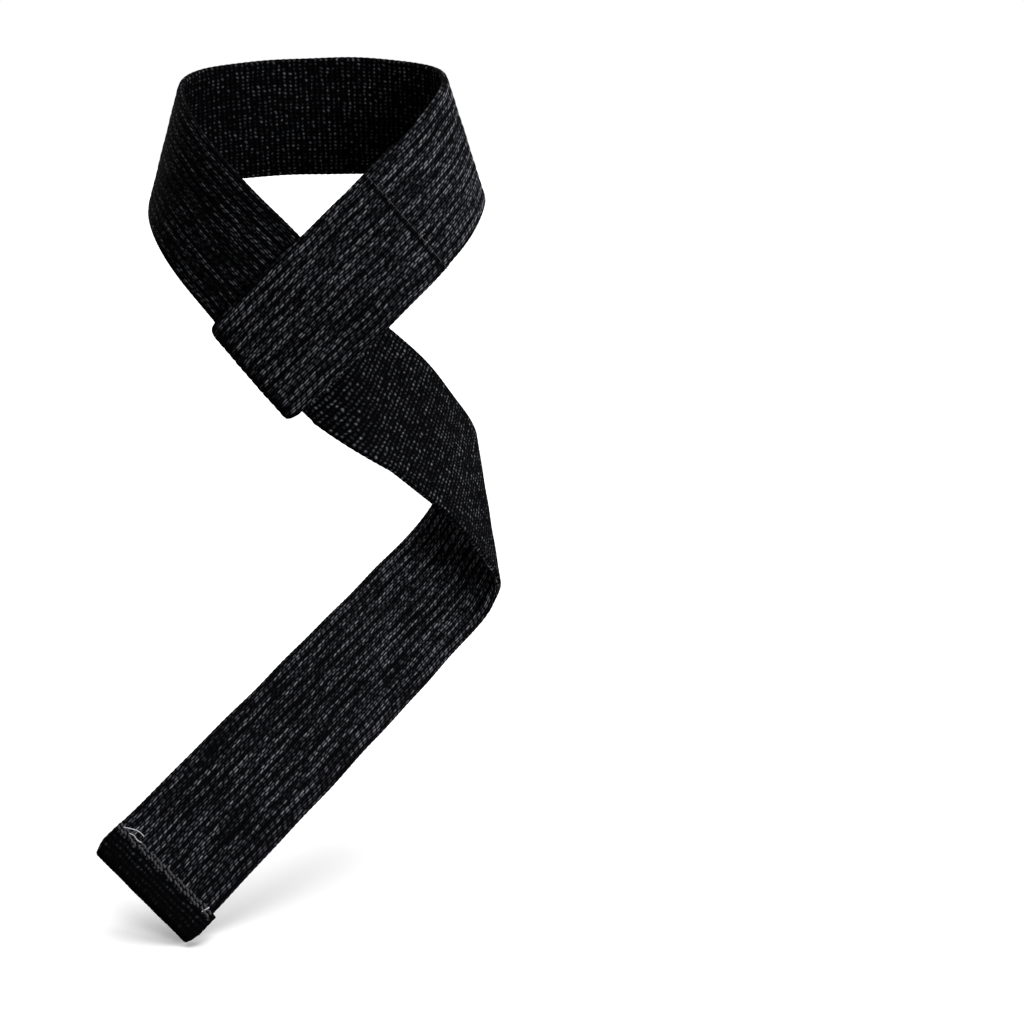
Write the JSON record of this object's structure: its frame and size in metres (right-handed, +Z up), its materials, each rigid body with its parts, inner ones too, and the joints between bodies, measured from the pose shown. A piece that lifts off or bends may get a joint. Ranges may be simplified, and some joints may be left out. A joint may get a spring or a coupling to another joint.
{
  "type": "weightlifting strap",
  "caption": "Webbing wrist strap for lifting: one end sewn into a flat loop, the other passed through it to make a noose, with a long free tail and a sewn hem.",
  "frame": {"origin": "middle of the wrist loop, where the wrist goes through", "axes": "+Z up as the strap hangs, along the way the wrist goes in from above; -Y towards the crossing at the front; +X to the right seen from the front"},
  "size_m": [0.1264, 0.118, 0.2522],
  "materials": {
    "webbing": "matte heavy woven cotton"
  },
  "bodies": {
    "root": {"wrist_band": "webbing", "sewn_loop": "webbing", "tail": "webbing", "tail_hem": "webbing"}
  },
  "joints": []
}
